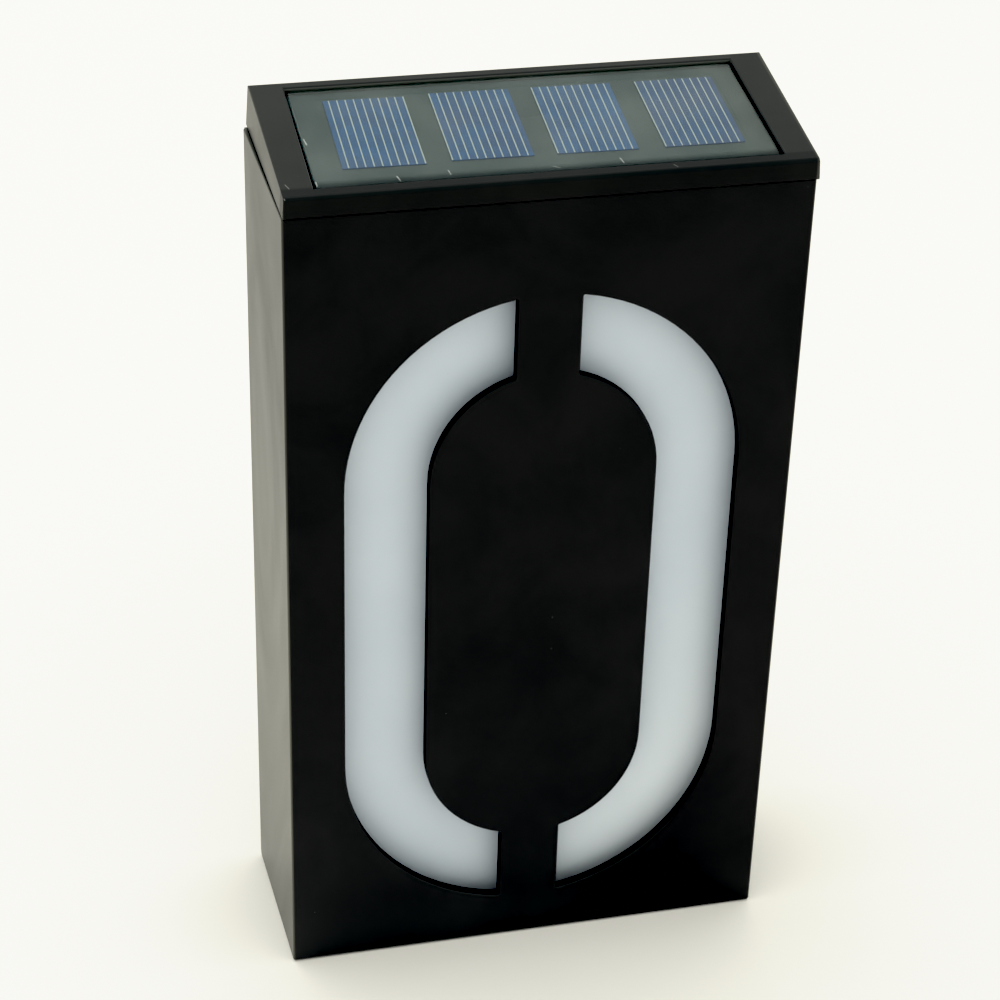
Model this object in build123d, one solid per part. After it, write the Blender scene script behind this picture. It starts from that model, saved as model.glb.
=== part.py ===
# Illuminated house number sign: a wall-hung block with a stencilled numeral lit
# from inside, a solar panel in its sloping top and a rechargeable cell in its back.
# Units are millimetres. +X right, +Y into the wall, +Z up.
# The origin is the centre of the overall box at the height of the flat base.
import os
from math import atan2, cos, degrees, hypot, pi, sin, tan, radians

from build123d import *

# ---------------------------------------------------------------- driving sizes
front_w = 100.25         # housing width across its front face
side_flare = 1.08        # each side leans out this much at the back
shell_d = 37.35          # housing depth, front face to back edge
shell_hf = 170.93        # housing height at the front rim
shell_hb = 172.95        # housing height at the back rim
front_t = 1.9            # front wall
side_t = 2.2             # side and bottom walls
edge_r = 0.42            # rounding of the two front corners
base_edge_r = 0.8        # rounding of the front and side edges of the base
base_z = -0.3            # underside of the base in the layout heights used below
rim_edge_r = 0.18        # rounding of the rim's outer edge
deck_drop = 5.0          # inner top wall below the rim
deck_t = 2.0

cover_y0 = 35.2          # rear cover, inner face
cover_y1 = 38.0          # rear cover, outer face: the plane that meets the wall
cover_gap = 0.3
cover_z0 = 2.55
cover_z1 = 164.6

digit_x = 0.05           # numeral centre line
digit_r_out = 38.95      # outer arcs of the numeral
digit_r_in = 22.6        # inner arcs of the numeral
digit_z_top = 112.6      # centre of the upper arcs
digit_z_bot = 48.9       # centre of the lower arcs
bridge_w = 12.56         # width of the two stencil bridges
opening_edge_r = 0.35
sheet_gap = 3.6          # from the front wall back to the opal sheet

lid_y0 = -0.4            # lid front face
lid_y1 = 38.0            # lid back face
lid_zf = 175.17          # top of the lid at its front edge
lid_zb = 181.09          # top of the lid at its back edge
lid_xl = -49.76          # left and right top edges at the front
lid_xr = 50.24
lid_flare = 0.0063       # the lid widens by this much per millimetre of depth, each side
lid_draft = 0.06         # and by this much per millimetre downwards
lid_gap = 0.12           # shadow gap between lid and housing rim
lid_front_r = 0.85       # rounding of the lid's front top edge
lid_low_r = 0.22         # rounding of its front lower edge
lid_edge_r = 0.18        # rounding of its other top edges

panel_drop = 0.7         # panel face below the lid face
recess_s0, recess_s1 = 2.65, 36.80      # recess, measured up the slope
recess_l0, recess_l1 = -43.84, -43.47   # its left side, front and back
recess_r0, recess_r1 = 44.17, 43.83     # its right side, front and back
board_t = 1.0
resin_t = 0.8
pad_t = 0.5

cell_w, cell_l, cell_t = 15.42, 23.3, 0.2
cell_x = (-29.28, -9.04, 10.77, 31.21)      # centres across the panel
cell_s = (21.75, 21.95, 21.65, 21.4)          # centres up the slope
cell_turn = (-1.0, -0.9, -1.05, -0.4)       # small placing errors, degrees
finger_pitch = 1.572
finger_first = (1.14, 0.12, 0.12, 0.12)     # first line from each cell's left edge
finger_count = (10, 10, 10, 10)
finger_w = 0.22

cell_aa_r, cell_aa_len = 7.1, 49.0
bay_z = 62.0
door_w, door_h, door_t = 72.0, 28.0, 2.1

knob_x_rest = -1.0
switch_z = 110.0

y_shift = -0.5 * (lid_y0 + cover_y1)        # puts the origin mid-depth
z_shift = -base_z                           # and at the height of the base

os.makedirs("parts", exist_ok=True)
parts = {}


def box(x0, x1, y0, y1, z0, z1):
    return Pos((x0 + x1) / 2, (y0 + y1) / 2, (z0 + z1) / 2) * Box(x1 - x0, y1 - y0, z1 - z0)


def cyl_y(x, z, y0, y1, r):
    # round bar along Y
    return Pos(x, (y0 + y1) / 2, z) * Rot(90, 0, 0) * Cylinder(r, y1 - y0)


def cyl_z(x, y, z0, z1, r):
    return Pos(x, y, (z0 + z1) / 2) * Cylinder(r, z1 - z0)


def cyl_x(y, z, x0, x1, r):
    return Pos((x0 + x1) / 2, y, z) * Rot(0, 90, 0) * Cylinder(r, x1 - x0)


def below(solid, plane):
    return split(solid, bisect_by=plane, keep=Keep.BOTTOM)


def above(solid, plane):
    return split(solid, bisect_by=plane, keep=Keep.TOP)


# rim plane of the housing, sloping up to the back
rim_a = atan2(shell_hb - shell_hf, shell_d)


def rim_plane(dz=0.0):
    return Plane(origin=(0, 0, shell_hf + dz), x_dir=(1, 0, 0), z_dir=(0, -sin(rim_a), cos(rim_a)))


def rim_z(y, dz=0.0):
    return shell_hf + dz + y * tan(rim_a)


# lid plane: local x across, local y up the slope, local z out of the face
lid_a = atan2(lid_zb - lid_zf, lid_y1 - lid_y0)


def lid_plane(h=0.0):
    n = Vector(0, -sin(lid_a), cos(lid_a))
    o = Vector(0, lid_y0, lid_zf) + n * h
    return Plane(origin=o, x_dir=(1, 0, 0), z_dir=n)


def lid_point(x, s, h=0.0):
    return Vector(x, lid_y0 + s * cos(lid_a) - h * sin(lid_a), lid_zf + s * sin(lid_a) + h * cos(lid_a))


def plan(inset, y0, y1):
    # plan outline of the housing, walls pulled in by inset
    def half(y):
        return front_w / 2 + side_flare * y / shell_d - inset
    return make_face(Polyline((-half(y0), y0), (half(y0), y0), (half(y1), y1), (-half(y1), y1), close=True))


def column(face2d, z0, z1):
    return extrude(Pos(0, 0, z0) * face2d, amount=z1 - z0)


def slab(lp, x0, x1, s0, s1, h0, h1):
    # block parallel to the lid face
    return lp * (Pos((x0 + x1) / 2, (s0 + s1) / 2, (h0 + h1) / 2) * Box(x1 - x0, s1 - s0, h1 - h0))


def screw(head_r, head_h, shank_r, shank_l, tip=1.2, slot=0.45):
    # pan head at the origin, shank along -Z, cross recess in the head
    head = Pos(0, 0, head_h / 2) * Cylinder(head_r, head_h)
    head = fillet(head.edges().filter_by(GeomType.CIRCLE).sort_by(Axis.Z)[-1], head_h * 0.55)
    shank = Pos(0, 0, -(shank_l - tip) / 2) * Cylinder(shank_r, shank_l - tip)
    point = Pos(0, 0, -(shank_l - tip / 2)) * Cone(shank_r * 0.35, shank_r, tip)
    s = head + shank + point
    for a in (0, 90):
        s -= Pos(0, 0, head_h - 0.35) * Rot(0, 0, a) * Box(head_r * 1.15, slot, 0.8)
    return s


def lead(points, r, bend):
    # insulated wire: straight runs joined by tangent arcs
    if len(points) == 2:
        path = Line(*points)
    else:
        path = FilletPolyline(*points, radius=bend)
    start = path @ 0
    sec = Plane(origin=start, z_dir=path % 0) * Circle(r)
    w = sweep(sec, path=path)
    print("lead", [tuple(round(c, 1) for c in p) for p in points], "bend", bend,
          "volume", round(w.volume, 2), "section x length", round(pi * r * r * path.length, 2))
    return w


def solder(at, axis, r_hole, r=1.35, h=0.9):
    # fillet of solder round a wire end; axis points from the pad along the wire
    c = Cone(r, r_hole + 0.22, h, align=(Align.CENTER, Align.CENTER, Align.MIN))
    c -= Cylinder(r_hole, h * 3)
    return Plane(origin=at, z_dir=axis) * c


# ---------------------------------------------------------------- housing shell
outer = column(plan(0.0, 0.0, shell_d), base_z, 185)
outer = fillet(outer.edges().filter_by(Axis.Z).sort_by(Axis.Y)[:2], edge_r)
outer = below(outer, rim_plane())
base_back = outer.edges().filter_by(Axis.X).sort_by(Axis.Z)[:2].sort_by(Axis.Y)
outer = fillet(base_back[-1], 1.9)
base_rim = [e for e in outer.edges() if e.center().Z < base_z + 0.01 and e.center().Y < shell_d - 3]
outer = fillet(base_rim, base_edge_r)
top_rim = [e for e in outer.edges()
           if abs(e.center().Z - rim_z(e.center().Y)) < 0.01 and e.center().Y < shell_d - 1]
outer = fillet(top_rim, rim_edge_r)

room = column(plan(side_t, front_t, shell_d + 1), side_t, 185)
room = below(room, rim_plane(-deck_drop - deck_t))
well = column(plan(side_t, front_t, shell_d - 2.0), 150, 185)
well = above(well, rim_plane(-deck_drop))
shell = outer - room - well

# strip of back wall above the rear cover
strip = box(-51.0, 51.0, shell_d - 2.0, shell_d, cover_z1 + cover_gap, 176)
strip = strip & column(plan(0.3, 0.0, shell_d), 0, 185)
strip = below(strip, rim_plane(-0.02))
shell += strip

# rebate round the inside of the rim for the lid seal
rebate = column(plan(1.05, 1.05, shell_d - 1.05), 150, 185)
shell -= above(rebate, rim_plane(-0.5))

# ledge that carries the rear seal
ledge_y0, ledge_y1 = 32.6, 34.6
ledge = column(plan(side_t - 0.4, ledge_y0, ledge_y1), side_t - 0.4, 185)
ledge = below(ledge, rim_plane(-deck_drop - deck_t + 0.4))
ledge_hole = box(-46.2, 46.2, ledge_y0 - 1, ledge_y1 + 1, 5.0, 161.6)
ledge = ledge - ledge_hole
shell += ledge

# screw bosses for the rear cover, ribbed to the side walls
cover_screw_z = (12.0, 84.0, 154.0)
cover_screw_x = 43.2
for sx in (-1, 1):
    for z in cover_screw_z:
        b = cyl_y(sx * cover_screw_x, z, 18.5, ledge_y1, 3.1)
        rib = box(min(sx * cover_screw_x, sx * 49.2), max(sx * cover_screw_x, sx * 49.2), 18.5, ledge_y1, z - 1.0, z + 1.0)
        shell += b + rib
for sx in (-1, 1):
    for z in cover_screw_z:
        shell -= cyl_y(sx * cover_screw_x, z, 22.5, ledge_y1 + 1, 1.3)

# bosses for the light chamber
tray_screw_x, tray_screw_z = 45.1, (20.0, 140.0)
tray_y1 = 15.0
for sx in (-1, 1):
    for z in tray_screw_z:
        b = cyl_y(sx * tray_screw_x, z, front_t - 0.5, 13.2, 2.3)
        rib = box(min(sx * tray_screw_x, sx * 48.8), max(sx * tray_screw_x, sx * 48.8), front_t - 0.5, 13.2, z - 0.9, z + 0.9)
        shell += b + rib
for sx in (-1, 1):
    for z in tray_screw_z:
        shell -= cyl_y(sx * tray_screw_x, z, 4.5, 14, 1.05)

# low frame round the numeral that the opal sheet rests on
sheet_y0 = front_t + sheet_gap + 0.05
sheet_y1 = sheet_y0 + 1.5
seat_rib = box(-42.3, 42.3, front_t - 0.3, front_t + sheet_gap, 5.7, 155.8)
seat_rib = fillet(seat_rib.edges().filter_by(Axis.Y), 2.0)
seat_in = box(-40.9, 40.9, 0, 10, 6.9, 154.6)
shell += seat_rib - fillet(seat_in.edges().filter_by(Axis.Y), 1.0)

# screw and wire holes in the deck
lid_screw_at = [(-38.0, 9.0), (38.0, 9.0), (-38.0, 29.0), (38.0, 29.0)]
for x, y in lid_screw_at:
    shell -= cyl_z(x, y, 155, 172, 1.6)
wire_hole = box(-9.0, 9.0, 19.0, 26.0, 155, 172)
shell -= wire_hole

# the numeral: two C-shaped openings parted by the bridges
sep = digit_z_top - digit_z_bot
mid = (digit_z_top + digit_z_bot) / 2
numeral = Rot(0, 0, 90) * SlotCenterToCenter(sep, 2 * digit_r_out)
numeral -= Rot(0, 0, 90) * SlotCenterToCenter(sep, 2 * digit_r_in)
numeral -= Rectangle(bridge_w, 200)
numeral = fillet(numeral.vertices().filter_by(lambda v: abs(abs(v.X) - bridge_w / 2) < 0.01), 0.4)
openings = extrude(Plane.XZ * (Pos(digit_x, mid) * numeral), amount=5, both=True)
shell -= openings
rims = [e for e in shell.edges()
        if abs(e.center().Y) < 1e-3 and abs(e.center().X) < 41 and 8 < e.center().Z < 154
        and abs(e.bounding_box().min.Y) < 1e-3 and abs(e.bounding_box().max.Y) < 1e-3]
shell = fillet(rims, opening_edge_r)
parts["housing_shell"] = shell

# ---------------------------------------------------------------- light chamber
parts["diffuser_panel"] = fillet(
    box(-42.3, 42.3, sheet_y0, sheet_y1, 5.7, 155.8).edges().filter_by(Axis.Y), 2.0)

tray = box(-42.5, 42.5, sheet_y1 + 0.1, tray_y1, 5.5, 156.0)
tray = fillet(tray.edges().filter_by(Axis.Y), 2.2)
pocket = box(-41.0, 41.0, 0, tray_y1 - 1.5, 7.0, 154.5)
pocket = fillet(pocket.edges().filter_by(Axis.Y), 1.2)
tray -= pocket
for sx in (-1, 1):
    for z in tray_screw_z:
        x0, x1 = sorted((sx * 42.0, sx * 47.3))
        tab = box(x0, x1, 13.35, tray_y1, z - 4.0, z + 4.0)
        tray += tab
for sx in (-1, 1):
    for z in tray_screw_z:
        tray -= cyl_y(sx * tray_screw_x, z, 12, 16, 1.35)
led_z = (35.0, 66.0, 97.0, 128.0)
for z in led_z:
    tray -= cyl_y(0, z, 12, 16, 3.1)
led_screw_z = (50.5, 112.5)
for z in led_screw_z:
    tray += cyl_y(0, z, 10.0, tray_y1 - 1.0, 2.3)
for z in led_screw_z:
    tray -= cyl_y(0, z, 11.0, 16, 0.95)
parts["reflector_tray"] = tray

tray_screws = [Pos(sx * tray_screw_x, tray_y1 + 0.05, z) * Rot(-90, 0, 0) * screw(2.2, 1.4, 1.0, 8.5)
               for sx in (-1, 1) for z in tray_screw_z]
parts["tray_screws"] = Compound(children=tray_screws)

led_board = box(-6.0, 6.0, tray_y1 + 0.1, tray_y1 + 1.5, 27.0, 137.0)
led_board = fillet(led_board.edges().filter_by(Axis.Y), 1.0)
for z in led_screw_z:
    led_board -= cyl_y(0, z, 14, 18, 1.15)
parts["led_board"] = led_board

leds = []
for z in led_z:
    flange = cyl_y(0, z, 14.05, 15.05, 2.8)
    lens = cyl_y(0, z, 9.9, 14.05, 2.4)
    lens = fillet(lens.edges().filter_by(GeomType.CIRCLE).sort_by(Axis.Y)[0], 1.9)
    leds.append(flange + lens)
parts["leds"] = Compound(children=leds)

parts["led_board_screws"] = Compound(children=[
    Pos(0, tray_y1 + 1.55, z) * Rot(-90, 0, 0) * screw(1.8, 1.1, 0.9, 5.0, tip=0.8, slot=0.4)
    for z in led_screw_z])

# ---------------------------------------------------------------- rear cover
def cover_half(y):
    return front_w / 2 + side_flare * y / shell_d - side_t - cover_gap


cov = make_face(Polyline((-cover_half(cover_y0), cover_y0), (cover_half(cover_y0), cover_y0),
                         (cover_half(cover_y0), cover_y1), (-cover_half(cover_y0), cover_y1), close=True))
cover = column(cov, cover_z0, cover_z1)
cover = fillet(cover.edges().filter_by(Axis.Y), 1.0)
cover = fillet([e for e in cover.edges() if abs(e.center().Y - cover_y1) < 1e-3], 0.5)

# thick seat round the battery door, and the battery bay behind it
seat_y = 34.9
door_y1 = cover_y1
door_y0 = door_y1 - door_t
seat = box(-door_w / 2 - 1.9, door_w / 2 + 1.9, seat_y - 2.0, cover_y0 + 0.5, bay_z - door_h / 2 - 1.9, bay_z + door_h / 2 + 1.9)
seat = fillet(seat.edges().filter_by(Axis.Y), 3.0)
cover += seat
cover += box(-30.7, 30.7, 18.9, seat_y - 1.0, bay_z - 9.6, bay_z + 9.6)
door_screw_x = 33.4
for sx in (-1, 1):
    cover += cyl_y(sx * door_screw_x, bay_z, 26.0, seat_y - 1.0, 2.6)
# control board pillars
board_x, board_z0, board_z1 = 24.0, 91.0, 129.0
pillar_at = [(sx * 20.5, z) for sx in (-1, 1) for z in (94.5, 125.5)]
for x, z in pillar_at:
    cover += cyl_y(x, z, 27.6, cover_y0 + 0.5, 2.6)
# closed pockets behind the two keyholes
key_z = (26.0, 148.0)
for z in key_z:
    pk = box(-7.5, 7.5, cover_y0 - 3.4, cover_y0 + 0.5, z - 13.5, z + 7.0)
    cover += fillet(pk.edges().filter_by(Axis.Y), 2.5)

door_recess = box(-door_w / 2 - 0.3, door_w / 2 + 0.3, seat_y, cover_y1 + 1, bay_z - door_h / 2 - 0.3, bay_z + door_h / 2 + 0.3)
door_recess = fillet(door_recess.edges().filter_by(Axis.Y), 2.3)
cover -= door_recess
cover -= box(-28.9, 28.9, 20.4, cover_y1 + 1, bay_z - 8.0, bay_z + 8.0)
for sx in (-1, 1):
    cover -= cyl_y(sx * door_screw_x, bay_z, 27.0, seat_y + 1, 1.35)
for x, z in pillar_at:
    cover -= cyl_y(x, z, 27.0, 33.5, 0.95)
for sx in (-1, 1):
    for z in cover_screw_z:
        cover -= cyl_y(sx * cover_screw_x, z, cover_y0 - 1, cover_y1 + 1, 1.65)
        cover -= cyl_y(sx * cover_screw_x, z, cover_y1 - 1.6, cover_y1 + 1, 3.1)
# keyholes: a head hole with a slot rising from it, wider behind so a screw head can rise
key_slot_r, key_head_r, key_rise = 2.25, 4.4, 8.0
key_head_dz = 6.0
for z in key_z:
    cover -= cyl_y(0, z - key_head_dz, cover_y0 - 2.0, cover_y1 + 1, key_head_r)
    cover -= box(-key_slot_r, key_slot_r, cover_y0 - 2.0, cover_y1 + 1, z - key_head_dz, z + key_rise / 2 - key_slot_r)
    cover -= cyl_y(0, z + key_rise / 2 - key_slot_r, cover_y0 - 2.0, cover_y1 + 1, key_slot_r)
    cover -= box(-key_head_r, key_head_r, cover_y0 - 2.0, cover_y0 + 0.6, z - key_head_dz, z + key_rise / 2 - key_slot_r)
    cover -= cyl_y(0, z + key_rise / 2 - key_slot_r, cover_y0 - 2.0, cover_y0 + 0.6, key_head_r)
# switch slot with a shallow finger dish
cover -= box(-2.5, 2.5, 30, cover_y1 + 1, switch_z - 1.5, switch_z + 1.5)
dish = box(-9.0, 9.0, cover_y1 - 1.1, cover_y1 + 1, switch_z - 5.0, switch_z + 5.0)
cover -= fillet(dish.edges().filter_by(Axis.Y), 3.5)
# slots for the tails of the battery contacts
for sx in (-1, 1):
    x0, x1 = sorted((sx * 27.85, sx * 28.6))
    cover -= box(x0, x1, 18, 21, bay_z - 2.3, bay_z + 2.3)
parts["rear_cover"] = cover

ring = column(plan(side_t + 0.35, ledge_y1 + 0.05, cover_y0 - 0.05), cover_z0 + 0.1, cover_z1 - 0.1)
ring -= box(-46.6, 46.6, 30, 40, 4.4, 162.4)
parts["rear_gasket"] = ring

parts["rear_cover_screws"] = Compound(children=[
    Pos(sx * cover_screw_x, cover_y1 - 1.55, z) * Rot(-90, 0, 0) * screw(2.7, 1.35, 1.25, 12.0)
    for sx in (-1, 1) for z in cover_screw_z])

# ---------------------------------------------------------------- battery and contacts
cell_y = door_y0 - 0.55 - cell_aa_r
sleeve = cyl_x(cell_y, bay_z, -24.2, 23.8, cell_aa_r) - cyl_x(cell_y, bay_z, -23.9, 23.5, cell_aa_r - 0.15)
sleeve -= cyl_x(cell_y, bay_z, -30, 30, 5.9)
parts["battery_sleeve"] = sleeve
can = cyl_x(cell_y, bay_z, -23.85, 23.45, cell_aa_r - 0.2)
can += cyl_x(cell_y, bay_z, -24.6, -23.8, 5.0)
can += cyl_x(cell_y, bay_z, 23.4, 24.2, 5.0)
nub = cyl_x(cell_y, bay_z, 24.0, 25.6, 2.75)
can += fillet(nub.edges().filter_by(GeomType.CIRCLE).sort_by(Axis.X)[-1], 0.5)
parts["battery_cell"] = can

pos_plate = box(28.0, 28.45, 16.9, 33.0, bay_z - 2.0, bay_z + 2.0) + box(28.0, 28.45, 22.0, 33.0, bay_z - 6.5, bay_z + 6.5)
pos_plate += cyl_x(cell_y, bay_z, 25.7, 28.1, 2.0)
parts["contact_plate_positive"] = pos_plate

# sprung leaf on the negative side, bowed towards the cell
neg_back = box(-28.45, -28.0, 16.9, 33.4, bay_z - 2.0, bay_z + 2.0) + box(-28.45, -28.0, 22.0, 33.4, bay_z - 6.5, bay_z + 6.5)
bow = make_face(Polyline((-28.1, 33.4), (-28.1, 32.9), (-25.05, cell_y + 0.9), (-25.05, cell_y - 0.9), (-27.6, 22.3),
                         (-27.2, 22.1), (-24.65, cell_y - 1.0), (-24.65, cell_y + 1.0), (-27.4, 33.4), close=True))
neg_leaf = extrude(Pos(0, 0, bay_z - 3.0) * bow, amount=6.0)
parts["contact_spring_negative"] = neg_back + neg_leaf

# ---------------------------------------------------------------- battery door
door = box(-door_w / 2, door_w / 2, door_y0, door_y1, bay_z - door_h / 2, bay_z + door_h / 2)
door = fillet(door.edges().filter_by(Axis.Y), 2.0)
door = fillet([e for e in door.edges() if abs(e.center().Y - door_y1) < 1e-3], 0.4)
for k in range(5):
    door -= box(-9.0, 9.0, door_y1 - 0.4, door_y1 + 1, bay_z + 4.6 + 1.5 * k - 0.35, bay_z + 4.6 + 1.5 * k + 0.35)
for sx in (-1, 1):
    door -= cyl_y(sx * door_screw_x, bay_z, door_y0 - 1, door_y1 + 1, 1.45)
    door -= cyl_y(sx * door_screw_x, bay_z, door_y1 - 1.3, door_y1 + 1, 2.6)
for sx in (-1, 1):
    door += box(min(sx * 12, sx * 18), max(sx * 12, sx * 18), door_y0 - 0.4, door_y0 + 0.2, bay_z - 2.5, bay_z + 2.5)
parts["battery_door"] = door

seal = box(-31.0, 31.0, seat_y + 0.12, door_y0 - 0.05, bay_z - 11.2, bay_z + 11.2)
seal = fillet(seal.edges().filter_by(Axis.Y), 2.0)
seal_in = box(-29.3, 29.3, 30, 40, bay_z - 9.5, bay_z + 9.5)
seal -= fillet(seal_in.edges().filter_by(Axis.Y), 1.0)
parts["battery_door_gasket"] = seal

parts["battery_door_screws"] = Compound(children=[
    Pos(sx * door_screw_x, door_y1 - 1.25, bay_z) * Rot(-90, 0, 0) * screw(2.3, 1.1, 1.25, 7.4)
    for sx in (-1, 1)])

# ---------------------------------------------------------------- control board and switch
board_y0, board_y1 = 26.0, 27.5
cb = box(-board_x, board_x, board_y0, board_y1, board_z0, board_z1)
cb = fillet(cb.edges().filter_by(Axis.Y), 1.5)
for x, z in pillar_at:
    cb -= cyl_y(x, z, 25, 29, 1.2)
parts["control_board"] = cb
parts["control_board_screws"] = Compound(children=[
    Pos(x, board_y0 - 0.05, z) * Rot(90, 0, 0) * screw(1.8, 1.1, 0.9, 6.0, tip=0.8, slot=0.4) for x, z in pillar_at])

chip = box(5.5, 10.5, board_y0 - 1.7, board_y0 - 0.25, 103.0, 107.0)
legs = [box(5.9 + 1.27 * i, 6.3 + 1.27 * i, board_y0 - 0.9, board_y0 - 0.08, 102.1, 103.05) for i in range(4)]
legs += [box(5.9 + 1.27 * i, 6.3 + 1.27 * i, board_y0 - 0.9, board_y0 - 0.08, 106.95, 107.9) for i in range(4)]
for g in legs:
    chip += g
parts["driver_chip"] = chip
coil = cyl_y(-13.0, 106.0, board_y0 - 4.6, board_y0 - 3.8, 3.6) + cyl_y(-13.0, 106.0, board_y0 - 4.0, board_y0 - 0.9, 2.7) + cyl_y(-13.0, 106.0, board_y0 - 1.0, board_y0 - 0.08, 3.6)
parts["inductor"] = coil
parts["smoothing_capacitor"] = cyl_y(14.0, 118.0, board_y0 - 5.6, board_y0 - 0.08, 2.5)
parts["board_resistors"] = Compound(children=[
    box(x - 1.0, x + 1.0, board_y0 - 0.6, board_y0 - 0.08, z - 0.6, z + 0.6)
    for x, z in ((-4.0, 101.0), (-4.0, 104.0), (1.0, 101.0), (1.0, 117.5), (-14.0, 117.5))])

sw_y0, sw_y1 = board_y1 + 0.08, 35.05      # the case reaches the cover and closes its slot
sw = box(-4.4, 4.4, sw_y0, sw_y1, switch_z - 2.4, switch_z + 2.4)
sw = fillet([e for e in sw.edges() if abs(e.center().Y - sw_y1) < 1e-3], 0.3)
sw -= box(-2.5, 2.5, sw_y1 - 1.6, sw_y1 + 1, switch_z - 1.5, switch_z + 1.5)
parts["switch_body"] = sw
knob = box(knob_x_rest - 1.2, knob_x_rest + 1.2, sw_y1 - 1.3, 37.2, switch_z - 1.2, switch_z + 1.2)
knob = fillet([e for e in knob.edges() if abs(e.center().Y - 37.2) < 1e-3], 0.35)
for k in (-0.6, 0.0, 0.6):
    knob -= box(knob_x_rest + k - 0.12, knob_x_rest + k + 0.12, 36.95, 38, switch_z - 2, switch_z + 2)
parts["switch_knob"] = knob

# ---------------------------------------------------------------- solar lid
LP = lid_plane()
prof = make_face(Polyline((lid_y0, rim_z(lid_y0, lid_gap)), (lid_y1, rim_z(lid_y1, lid_gap)), (lid_y1, lid_zb), (lid_y0, lid_zf), close=True))
lid = extrude(Plane.YZ * prof, amount=56, both=True)
t = tan(lid_a)
for sx, xe in ((-1, lid_xl), (1, lid_xr)):
    # side face: x = xe + sx*(flare*(y-y0) + draft*(top(y)-z))
    n = Vector(sx * 1.0, -(lid_flare + lid_draft * t), lid_draft)
    lid = below(lid, Plane(origin=(xe, lid_y0, lid_zf), z_dir=n))
top_front = lid.edges().filter_by(Axis.X).sort_by(Axis.Y)[:2].sort_by(Axis.Z)[-1]
lid = fillet(top_front, lid_front_r)
# small rounding of the other top edges
def on_top(e):
    c = e.center()
    d = (c - Vector(0, lid_y0, lid_zf)).dot(Vector(0, -sin(lid_a), cos(lid_a)))
    return abs(d) < 0.05


others = [e for e in lid.edges() if on_top(e) and not (abs(e.center().Y - (lid_y0 + 1.2)) < 0.6 and e.length > 60)]
lid = fillet(others, lid_edge_r)
low = [e for e in lid.edges() if abs(e.center().Z - rim_z(e.center().Y, lid_gap)) < 0.02]
low_front = [e for e in low if e.center().Y < 0.5]
lid = fillet(low_front, lid_low_r)

plug = box(-47.4, 47.4, 2.9, 35.0, 160, 178)
plug = above(below(plug, rim_plane(lid_gap + 0.6)), rim_plane(-3.2))
plug = fillet(plug.edges().filter_by(Axis.Z), 1.0)
lid = lid + plug
hollow = box(-45.8, 45.8, 4.6, 33.3, 150, 185)
hollow = below(hollow, lid_plane(-panel_drop - resin_t - board_t - pad_t - 1.5))
lid -= hollow
for x, y in lid_screw_at:
    post = cyl_z(x, y, 150, 176, 3.0)
    post = above(below(post, lid_plane(-panel_drop - resin_t - board_t - pad_t - 1.0)), rim_plane(-deck_drop + 0.15))
    lid += post
    bore = below(cyl_z(x, y, 150, 176, 1.3), lid_plane(-panel_drop - resin_t - board_t - pad_t - 0.6))
    lid -= bore
recess = make_face(Polyline((recess_l0, recess_s0), (recess_r0, recess_s0), (recess_r1, recess_s1), (recess_l1, recess_s1), close=True))
recess_h = panel_drop + resin_t + board_t + pad_t
lid -= extrude(LP * (Pos(0, 0, 1.0) * recess), amount=-(recess_h + 1.0))
# its edges: the back one is rounded most
recess_rim = [e for e in lid.edges() if on_top(e) and abs(e.center().X - 0.2) < 45 and lid_y0 + 2.3 < e.center().Y < lid_y1 - 1.2
              and e.bounding_box().max.X < 45 and e.bounding_box().min.X > -45]
back_edge = max(recess_rim, key=lambda e: e.center().Y)
lid = fillet([back_edge], 0.55)
sides = [e for e in lid.edges() if on_top(e) and e.length > 20 and abs(e.center().X) < 45 and lid_y0 + 2.3 < e.center().Y < lid_y1 - 2.5
         and e.bounding_box().max.X < 45 and e.bounding_box().min.X > -45]
left_edge = min(sides, key=lambda e: e.center().X)
lid = fillet([left_edge], 0.3)
sides = [e for e in lid.edges() if on_top(e) and e.length > 20 and e.center().X > 40 and e.center().X < 45 and lid_y0 + 2.3 < e.center().Y < lid_y1 - 2.5
         and e.bounding_box().max.X < 45]
lid = fillet(sides, 0.4)
sides = [e for e in lid.edges() if on_top(e) and e.length > 20 and e.center().X > -40 and e.center().X < 40 and lid_y0 + 2.3 < e.center().Y < lid_y1 - 2.5
         and e.bounding_box().max.X < 45 and e.bounding_box().min.X > -45]
lid = fillet(sides, 0.2)
solder_x = 4.0
lid -= extrude(LP * (Pos(0, 23.5, -6) * Rectangle(16, 5)), amount=6)
parts["solar_lid"] = lid

g = column(plan(1.15, 1.15, shell_d - 1.15), 160, 185) - column(plan(2.05, 1.8, shell_d - 1.95), 150, 190)
g = above(below(g, rim_plane(lid_gap - 0.05)), rim_plane(-0.45))
parts["lid_gasket"] = g

lid_screws = []
for x, y in lid_screw_at:
    z = rim_z(y - 2.2, -deck_drop - deck_t) - 0.05
    lid_screws.append(Pos(x, y, z) * Rot(180, 0, 0) * screw(2.2, 1.4, 1.22, 8.0))
parts["lid_screws"] = Compound(children=lid_screws)

# ---------------------------------------------------------------- solar panel
pl, ps0, ps1 = -43.16, 3.0, 36.62
pr0, pr1 = 43.97, 43.68      # right edge, front and back
corner_r = 1.0               # rounding of the panel's front corners
dome_l, dome_r = 2.4, 6.0    # the resin rolls off over this length at the front
hb0 = -panel_drop - resin_t - board_t
hb1 = -panel_drop - resin_t
panel = make_face(Polyline((pl, ps0), (pr0, ps0), (pr1, ps1), (pl, ps1), close=True))
panel = fillet(panel.vertices().sort_by(Axis.Y)[:2], corner_r)


def panel_slab(h0, h1):
    return extrude(LP * (Pos(0, 0, h0) * panel), amount=h1 - h0)


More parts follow.
